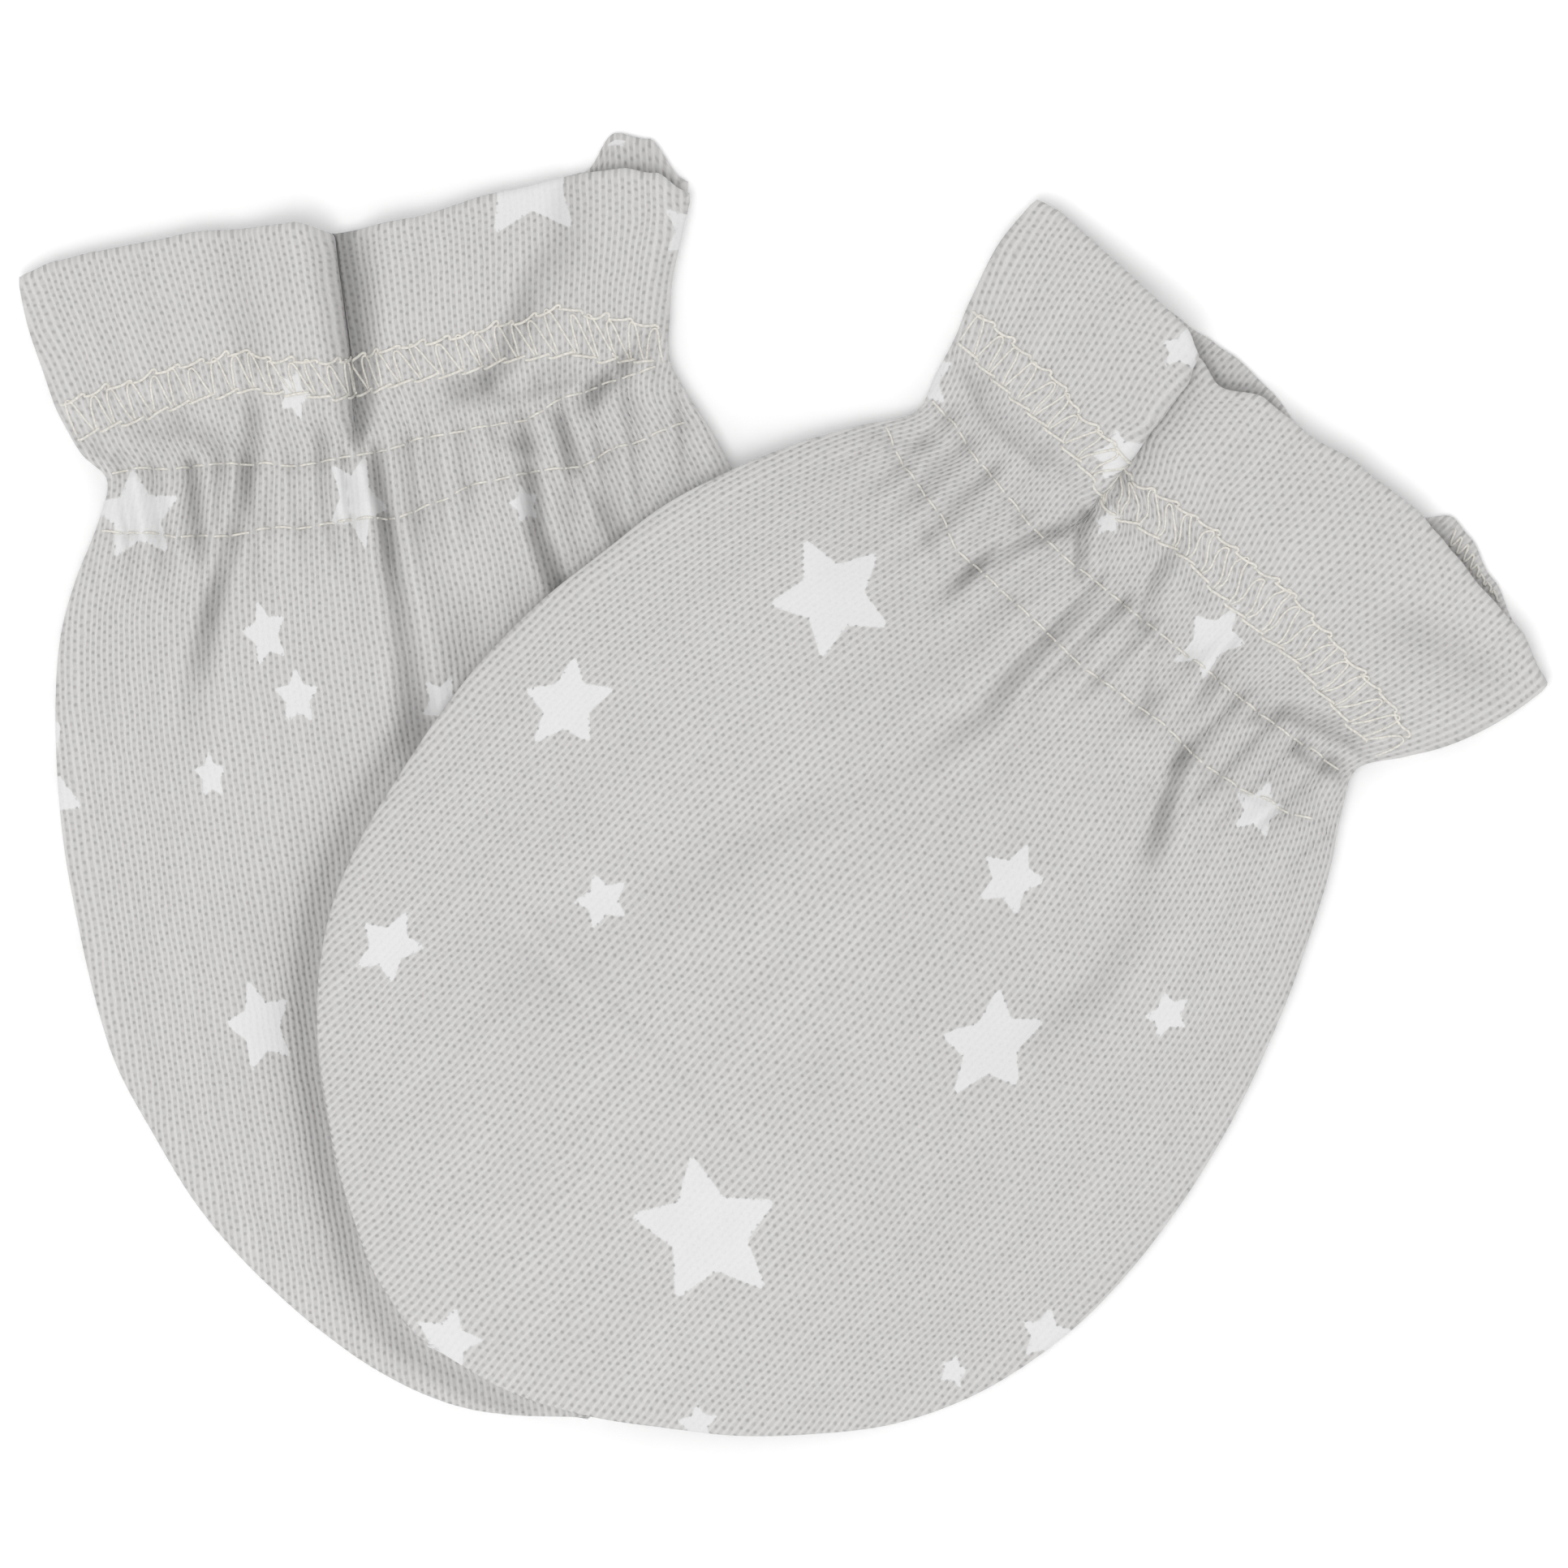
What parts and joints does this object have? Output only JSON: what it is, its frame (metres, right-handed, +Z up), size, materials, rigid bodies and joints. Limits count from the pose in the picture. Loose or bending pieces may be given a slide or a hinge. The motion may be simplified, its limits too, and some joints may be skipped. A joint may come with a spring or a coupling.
{
  "type": "pair of baby mittens",
  "caption": "Flat-lying cotton jersey baby mittens with hemmed cuffs and elastic-gathered wrists, one resting over the other's edge.",
  "frame": {"origin": "on the ground below the middle of the pair's outline", "axes": "+Z up, away from the ground; +X along the pair's longer side, from the lower mitten to the upper; +Y towards the cuffs"},
  "size_m": [0.1456, 0.1237, 0.0092],
  "materials": {
    "jersey": "pale grey fine rib jersey with a scatter of white stars, matt"
  },
  "bodies": {
    "root": {"lower_mitten_back_panel": "jersey", "lower_mitten_front_panel": "jersey", "upper_mitten_back_panel": "jersey", "upper_mitten_front_panel": "jersey"}
  },
  "joints": []
}
